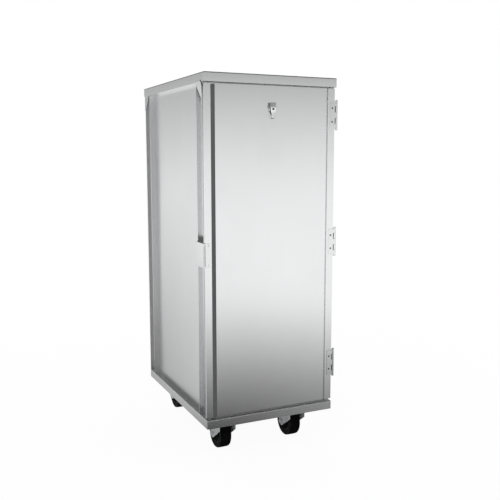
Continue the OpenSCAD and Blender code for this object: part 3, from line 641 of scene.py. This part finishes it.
def makeCabinet():
    makeTopCap(capLipLook)
    pan = softened("base_pan", panLook)
    # the fold faces get the lighter fold tone, a painted highlight
    pan.data.materials.append(sheetFoldHighlight)
    for face in pan.data.polygons:
        if foldTilt[0] < face.normal.z < foldTilt[1]:
            face.material_index = 2
    for corner in corners:
        # the rear uprights get the darker copy of their sheet, painted shade
        finishes = [sheetDullAndShaded, sheetEdgeHighlight] if corner in corners[2:] else sheetSet
        softened("upright_" + corner, {**uprightLook, "finishes": finishes})
    for node in ["side_panel_left", "side_panel_right"]:
        softened(node, {**panelLook, "finishes": sideSet})
    for node in ["back_panel", "door_header", "door_sill"]:
        softened(node, panelLook)
    softened("corner_gussets", gussetLook)
    for node in ["caster_channel_front", "caster_channel_rear"]:
        softened(node, channelLook)


rivetLook = {"radius": 4.0, "height": 1.2, "dome": 6, "shank": 2.0, "tail": 4.0}


def makeBackRivets(look):
    # domed heads in two columns, on the places of the frame's own rivets
    low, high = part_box("back_panel_rivets")
    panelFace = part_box("back_panel")[1].y
    r, h = look["radius"], look["height"]
    count = 1 + round((high.z - low.z - 2 * r * mm) / rowPitch)
    turns = [math.radians(90 * i / look["dome"]) for i in range(look["dome"])]
    dome = [(h * math.sin(turn), r * math.cos(turn)) for turn in turns]
    tail, shank = look["tail"], look["shank"]
    profile = [(-tail, 0.02), (-tail, shank), (0, shank), *dome, (h, 0.02)]
    head = newObject("rivetHead", lathePiece("rivetHead", profile, (0, 0, 0), "Y", 24))
    columns = []
    for x in (low.x + r * mm, high.x - r * mm):
        columns.append(growPiece("rivetColumn", pieceRow, {
            "Piece": head, "Count": count, "Start": (x, panelFace, low.z + r * mm),
            "Step": (0, 0, rowPitch), "Finish": zincFace,
        }))
    bpy.data.objects.remove(head)
    mount(joinPieces("backPanelRivets", columns), "cabinet", "zinc_plate", "back_panel_rivets")


slideLook = {"sheet": 1.5, "fold": 3.0, "lip": 0.7}


def makeTraySlides(look):
    # angle rails with a rounded fold and a rolled front lip on the ledge
    for side, node in ((-1, "tray_slides_left"), (1, "tray_slides_right")):
        low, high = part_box(node)
        wall = low.x if side < 0 else high.x
        width = (high.x - low.x) / mm
        length = (high.y - low.y) / mm
        t, r = look["sheet"], look["fold"]
        count = 1 + int((high.z - low.z) / rowPitch)
        leg = (high.z - low.z) / mm - (count - 1) * rowPitch / mm
        outer = arcPoints((r, r), r, 270, 180, 6)
        inner = arcPoints((r, r), r - t, 180, 270, 6)
        lip = arcPoints((width - t / 2, t / 2), t / 2, 90, -90, 6)
        section = [*outer, (0, leg), (t, leg), *inner, *lip]
        points = [(-side * x * mm, y * mm, z * mm) for y in (0, length) for x, z in section]
        n = len(section)
        faces = [tuple(range(n)), tuple(range(n, 2 * n))]
        faces += [(i, (i + 1) % n, n + (i + 1) % n, n + i) for i in range(n)]
        rail = newObject("slideRail", meshFrom("slideRail", points, faces))
        rails = growPiece(camelName(node), pieceRow, {
            "Piece": rail, "Count": count, "Start": (wall, low.y, low.z), "Step": (0, 0, rowPitch),
            "Finish": sheetAcross,
        })
        bpy.data.objects.remove(rail)
        mount(rails, "cabinet", "sheet_aluminium", node)


makeCabinet()
makeBackRivets(rivetLook)
makeTraySlides(slideLook)
print("cabinet ready")


# door

doorLook = {"edge": 0.7, "steps": 3, "finishes": sheetSet, "slot": "sheet_aluminium"}
stripLook = {
    "lip": 1.8, "slope": 0.8, "corner": 0.5, "dish": 1.2, "ribs": 3, "ribWidth": 1.1, "ribHeight": 0.5,
}
sealLook = {"half": 3.5, "corner": 5.0, "steps": 6, "bulb": 8, "wall": 0.35}


def makeDoorStrip(look):
    # an extruded pull strip: two lips, a dished middle and fine ribs along it
    low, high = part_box("door_strip")
    width, depth = (high.x - low.x) / mm, (high.y - low.y) / mm
    lip, slope, corner, dish = look["lip"], look["slope"], look["corner"], look["dish"]
    section = [(0, depth), (0, corner), (corner, 0), (lip, 0), (lip + slope, dish)]
    gap = (width - 2 * lip - 2 * slope) / (look["ribs"] + 1)
    for i in range(look["ribs"]):
        x = lip + slope + gap * (i + 1)
        half = look["ribWidth"] / 2
        section += [(x - half, dish), (x - half / 2, dish - look["ribHeight"]),
                    (x + half / 2, dish - look["ribHeight"]), (x + half, dish)]
    section += [(width - lip - slope, dish), (width - lip, 0), (width - corner, 0), (width, corner),
                (width, depth)]
    points = [(low.x + x * mm, low.y + y * mm, z) for z in (low.z, high.z) for x, y in section]
    n = len(section)
    faces = [tuple(range(n)), tuple(range(n, 2 * n))]
    faces += [(i, (i + 1) % n, n + (i + 1) % n, n + i) for i in range(n)]
    mesh = smoothShade(meshFrom("doorStrip", points, faces), 30)
    mesh.materials.append(stripVinyl)
    mount(newObject("doorStrip", mesh), "door", "grey_strip", "door_strip")


def makeDoorSeal(look):
    # a soft bulb section swept round the door's back with round corners
    low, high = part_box("door_seal")
    half = look["half"] * mm
    thick, wall = high.y - low.y, look["wall"]
    left, right = low.x + half, high.x - half
    foot, head = low.z + half, high.z - half
    r = look["corner"] * mm
    route = []
    for cx, cz, start in ((right - r, head - r, 0), (left + r, head - r, 90), (left + r, foot + r, 180),
                          (right - r, foot + r, 270)):
        for i in range(look["steps"] + 1):
            a = math.radians(start + 90 * i / look["steps"])
            route.append((cx + r * math.cos(a), cz + r * math.sin(a), math.cos(a), math.sin(a)))
    turns = [math.pi * i / look["bulb"] for i in range(look["bulb"] + 1)]
    crown = [(-half * math.cos(turn), wall * thick + (1 - wall) * thick * math.sin(turn)) for turn in turns]
    bulb = [(-half, 0), *crown, (half, 0)]
    points = [(x + u * ox, low.y + v, z + u * oz) for x, z, ox, oz in route for u, v in bulb]
    n, m = len(bulb), len(route)
    faces = [(i * n + k, i * n + (k + 1) % n, (i + 1) % m * n + (k + 1) % n, (i + 1) % m * n + k)
             for i in range(m) for k in range(n)]
    mesh = smoothShade(meshFrom("doorSeal", points, faces), 50)
    mesh.materials.append(sealRubber)
    mount(newObject("doorSeal", mesh), "door", "seal_rubber", "door_seal")


for doorNode in ["door_left_stile", "door_right_stile", "door_panel"]:
    softened(doorNode, doorLook)
softened("door_liner", panelLook)
makeDoorStrip(stripLook)
makeDoorSeal(sealLook)
print("door ready")


# hinges, latch and clip

leafLook = {"edge": 0.35, "steps": 2, "finishes": steelSet, "slot": "polished_steel"}
pinLook = {"edge": 0.4, "steps": 3, "finishes": steelSet, "slot": "polished_steel"}
screwLook = {"edge": 0.15, "steps": 2, "finishes": zincSet, "slot": "zinc_plate"}
clipLook = {"edge": 0.25, "steps": 2, "finishes": steelSet, "slot": "polished_steel"}
darkLook = {"edge": 0.2, "steps": 2, "finishes": [darkSteel], "slot": "dark_steel"}
springLook = {"turns": 5, "radius": 3.0, "pitch": 1.6, "wire": 1.0, "leg": 7.0}


def makeHardware():
    for node in ["hinge_frame_leaves", "hinge_door_leaves", "latch_plate", "latch_lever",
                 "latch_keeper"]:
        softened(node, leafLook)
    for node in ["hinge_pins", "latch_pin"]:
        softened(node, pinLook)
    for node in ["hinge_door_screws", "hinge_frame_screws"]:
        softened(node, {**screwLook, "finishes": [screwSteel]})
    softened("latch_screws", screwLook)
    softened("keeper_magnets", darkLook)
    for node in ["clip_base", "clip_jaw"]:
        softened(node, clipLook)
    softened("clip_pin", pinLook)
    softened("clip_rivets", screwLook)


def makeSpring(look):
    low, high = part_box("clip_pin")
    spring = growPiece("clipSpring", coilSpring, {
        "Turns": float(look["turns"]), "Radius": look["radius"] * mm,
        "Length": look["turns"] * look["pitch"] * mm, "Wire": look["wire"] * mm,
        "Leg": look["leg"] * mm, "Centre": (low + high) / 2, "Finish": darkSteel,
    })
    mount(spring, "door", "dark_steel", "clip_spring")


makeHardware()
makeSpring(springLook)
print("hardware ready")


# casters and wheels

forkLook = {"edge": 1.1, "steps": 3, "finishes": zincSet, "slot": "zinc_plate"}
plateLook = {"edge": 0.7, "steps": 2, "finishes": zincSet, "slot": "zinc_plate"}
nutLook = {"edge": 0.8, "steps": 2, "finishes": zincSet, "slot": "zinc_plate"}
wheelLook = {
    "bore": 6.1, "hub": 17.0, "web": 8.0, "rimHalf": 22.0, "rimThick": 5.5,
    "ribs": 10, "ribThick": 2.6, "ribFall": 3.0, "ribSet": 8.0,
}
treadLook = {"shoulder": 6.5, "crown": 0.5, "steps": 112, "seat": 1.6, "wallFrom": 0.6}


def makeWheelCore(corner, look):
    node = "wheel_core_" + corner
    low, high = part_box(node)
    centre = (low + high) / 2
    half, radius = (high.x - low.x) / 2 / mm, (high.z - low.z) / 2 / mm
    inner = radius - look["rimThick"]
    web, hub, rimHalf = look["web"], look["hub"], look["rimHalf"]
    side = [(half, look["bore"]), (half, hub - 3.5), (half - 1.2, hub - 2.3), (half - 1.2, hub - 1.2),
            (half - 2.4, hub), (web + 2.5, hub + 0.6), (web, hub + 3), (web, inner - 2.5),
            (web + 2.5, inner), (rimHalf - 0.8, inner), (rimHalf, inner + 0.8),
            (rimHalf, radius - 0.6), (rimHalf - 0.6, radius)]
    profile = side + [(-x, r) for x, r in reversed(side)]
    core = newObject("coreRing", smoothShade(lathePiece("coreRing", profile, centre)))
    core.data.materials.append(wheelPlastic)
    ribs = []
    for sign in (-1, 1):
        t = look["ribThick"] / 2
        outline = [(web - 1, hub - 1), (half - look["ribSet"], hub - 1),
                   (rimHalf - look["ribFall"], inner + 1), (web - 1, inner + 1)]
        points = [(sign * x * mm, y * mm, r * mm) for y in (-t, t) for x, r in outline]
        faces = [(0, 1, 2, 3), (4, 5, 6, 7), (0, 1, 5, 4), (1, 2, 6, 5), (2, 3, 7, 6), (3, 0, 4, 7)]
        rib = newObject("coreRib", meshFrom("coreRib", points, faces))
        ribs.append(growPiece("coreRibs", pieceRing, {
            "Piece": rib, "Count": look["ribs"], "Centre": centre, "Finish": wheelPlastic,
        }))
        bpy.data.objects.remove(rib)
    mount(joinPieces(camelName(node), [core, *ribs]), bodyOf[node], "wheel_plastic", node)


def makeTyre(corner, look):
    node = "tyre_" + corner
    low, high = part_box(node)
    centre = (low + high) / 2
    half, radius = (high.x - low.x) / 2 / mm, (high.z - low.z) / 2 / mm
    coreLow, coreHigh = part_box("wheel_core_" + corner)
    inner = (coreHigh.z - coreLow.z) / 2 / mm
    s, crown, seat = look["shoulder"], look["crown"], half - look["seat"]
    flat = half - s
    tread = [(flat * (1 - i / 6), radius - crown * (1 - i / 6) ** 2) for i in range(7)]
    turn = arcPoints((flat, radius - crown - s), s, 0, 90, 8)
    side = [(seat, inner), (seat, inner + 1.2), (half, inner + 3.0), *turn, *tread[1:]]
    profile = side + [(-x, r) for x, r in reversed(side[:-1])]
    mesh = lathePiece(camelName(node), profile, centre, "X", look["steps"])
    tyre = newObject(camelName(node), smoothShade(mesh))
    tyre.data.materials.append(tyreTread)
    tyre.data.materials.append(tyreWall)
    for face in tyre.data.polygons:
        face.material_index = 1 if abs(face.normal.x) > look["wallFrom"] else 0
    mount(tyre, bodyOf[node], "tyre_rubber", node)


softened("caster_bolts", nutLook)
for corner in corners:
    softened("caster_plate_" + corner, plateLook)
    softened("caster_fork_" + corner, forkLook)
    softened("caster_axle_" + corner, nutLook)
    makeWheelCore(corner, wheelLook)
    makeTyre(corner, treadLook)
print("casters ready")


# studio: white floor and world, soft lamps, and a shade on the floor that only the metal reflects

studioLook = {
    "ambient": 0.72,
    "floorRadius": 40.0,
    "floorTone": (0.86, 0.865, 0.87, 1),
    "shadowShare": 0.05,
    "shadowReach": (0.9, 2.6),
    "softTone": (0.98, 0.99, 1, 1),
    "lamps": [
        ("keyLamp", (-2.6, -3.2, 3.4), 2.4, 55),
        ("fillLamp", (3.4, -2.4, 2.6), 2.6, 35),
        ("backLamp", (0.6, 3.6, 3.2), 2.6, 40),
    ],
    "aim": (0, 0, 0.75),
    "roomHeight": (-0.02, 0.21),   # from the horizon up, the sine over which the room darkens
    "roomGlow": (1.0, 0.11),
    "roomBack": (0.93, 0.965),     # how straight back a ray goes where the room's back darkens
    "backGlow": (1.0, 0.66),
}
plainWhite = (1, 1, 1, 1)
shadeLook = {
    "radius": 22.0,
    "height": 0.001,
    "apronCentre": (-0.25, -0.5, 0),
    "apronReach": 3.0,
    "rearSlope": (-0.54, -0.13, 0),
    "rearBase": 0.31,
    "rearLeast": 0.34,
    "rearStart": (-0.4, 0.5),
}


def unseenRays(tree):
    # 1 for rays from the camera and for those that metal and glass send on, 0 for soft light
    path = addNode(tree, "ShaderNodeLightPath").outputs
    first = doMath(tree, "MAXIMUM", path["Is Camera Ray"], path["Is Glossy Ray"])
    return doMath(tree, "MAXIMUM", first, path["Is Transmission Ray"])


def makeWorld(look):
    world = bpy.data.worlds.new("whiteRoom")
    world.use_nodes = True
    tree = world.node_tree
    tree.nodes.clear()
    ray = addNode(tree, "ShaderNodeTexCoord").outputs["Generated"]
    way = addNode(tree, "ShaderNodeSeparateXYZ", {0: ray}).outputs
    height = remap(tree, way["Z"], look["roomHeight"], look["roomGlow"])
    back = remap(tree, way["Y"], look["roomBack"], look["backGlow"])
    glow = doMath(tree, "MULTIPLY", height, back)
    path = addNode(tree, "ShaderNodeLightPath").outputs

    def background(tone, strength):
        return addNode(tree, "ShaderNodeBackground", {"Color": tone, "Strength": strength}).outputs[0]

    soft, room = background(look["softTone"], look["ambient"]), background(plainWhite, glow)
    white = background(plainWhite, 1.0)
    sent = addNode(tree, "ShaderNodeMixShader", {0: path["Is Glossy Ray"], 1: soft, 2: room}).outputs[0]
    plain = doMath(tree, "MAXIMUM", path["Is Camera Ray"], path["Is Transmission Ray"])
    seen = addNode(tree, "ShaderNodeMixShader", {0: plain, 1: sent, 2: white}).outputs[0]
    addNode(tree, "ShaderNodeOutputWorld", {"Surface": seen})
    bpy.context.scene.world = world


def floorFinish(look):
    material = bpy.data.materials.new("paleFloor")
    material.use_nodes = True
    tree = material.node_tree
    tree.nodes.clear()
    place = addNode(tree, "ShaderNodeTexCoord").outputs["Object"]
    away = addNode(tree, "ShaderNodeVectorMath", {0: place}, operation="LENGTH").outputs["Value"]
    share = remap(tree, away, look["shadowReach"], (look["shadowShare"], 0.0))
    lit = addNode(tree, "ShaderNodeBsdfDiffuse", {"Color": look["floorTone"]}).outputs[0]
    white = addNode(tree, "ShaderNodeEmission", {"Color": plainWhite, "Strength": 1.0}).outputs[0]
    shown = addNode(tree, "ShaderNodeMixShader", {0: share, 1: white, 2: lit}).outputs[0]
    mixed = addNode(tree, "ShaderNodeMixShader", {0: unseenRays(tree), 1: lit, 2: shown}).outputs[0]
    addNode(tree, "ShaderNodeOutputMaterial", {"Surface": mixed})
    return material


def discMesh(name, radius, z, steps=96):
    points = [(radius * math.cos(math.tau * i / steps), radius * math.sin(math.tau * i / steps), z)
              for i in range(steps)]
    mesh = bpy.data.meshes.new(name)
    mesh.from_pydata(points, [], [tuple(range(steps))])
    return mesh


def onlyReflected(obj):
    # seen in the metal, never by the camera, and it dims no lamp
    obj.visible_camera = False
    obj.visible_diffuse = False
    obj.visible_transmission = False
    obj.visible_volume_scatter = False
    obj.visible_shadow = False


def shadeFinish(look):
    # bright away from the cart's foot in front, and a grey slope behind it
    material = bpy.data.materials.new("floorShade")
    material.use_nodes = True
    tree = material.node_tree
    tree.nodes.clear()
    place = addNode(tree, "ShaderNodeTexCoord").outputs["Object"]
    offset = addNode(tree, "ShaderNodeVectorMath", {
        0: place, 1: look["apronCentre"],
    }, operation="SUBTRACT").outputs[0]
    away = addNode(tree, "ShaderNodeVectorMath", {0: offset}, operation="LENGTH").outputs["Value"]
    front = remap(tree, away, (0, look["apronReach"]), (0, 1))
    along = addNode(tree, "ShaderNodeVectorMath", {
        0: place, 1: look["rearSlope"],
    }, operation="DOT_PRODUCT").outputs["Value"]
    base, least = look["rearBase"], look["rearLeast"]
    rear = remap(tree, along, (least - base, 1 - base), (least, 1.0))
    depth = addNode(tree, "ShaderNodeSeparateXYZ", {0: place}).outputs["Y"]
    share = remap(tree, depth, look["rearStart"], (0, 1))
    glow = addNode(tree, "ShaderNodeMix", {0: share, 2: front, 3: rear}).outputs[0]
    light = addNode(tree, "ShaderNodeEmission", {"Color": plainWhite, "Strength": glow}).outputs[0]
    addNode(tree, "ShaderNodeOutputMaterial", {"Surface": light})
    return material


def makeFloorShade(look):
    apron = discMesh("floorShade", look["radius"], look["height"])
    apron.materials.append(shadeFinish(look))
    onlyReflected(newObject("floorShade", apron))


def makeLamps(look):
    for name, place, size, power in look["lamps"]:
        data = bpy.data.lights.new(name, "AREA")
        data.size = size
        data.energy = power
        lamp = bpy.data.objects.new(name, data)
        lamp.location = place
        lamp.visible_glossy = False
        lamp.rotation_mode = "QUATERNION"
        lamp.rotation_quaternion = (Vector(look["aim"]) - Vector(place)).to_track_quat("-Z", "Y")
        bpy.context.scene.collection.objects.link(lamp)


makeWorld(studioLook)
floor = newObject("studioFloor", discMesh("studioFloor", studioLook["floorRadius"], 0.0))
floor.data.materials.append(floorFinish(studioLook))
makeFloorShade(shadeLook)
makeLamps(studioLook)
print("studio ready")

bpy.context.view_layer.update()
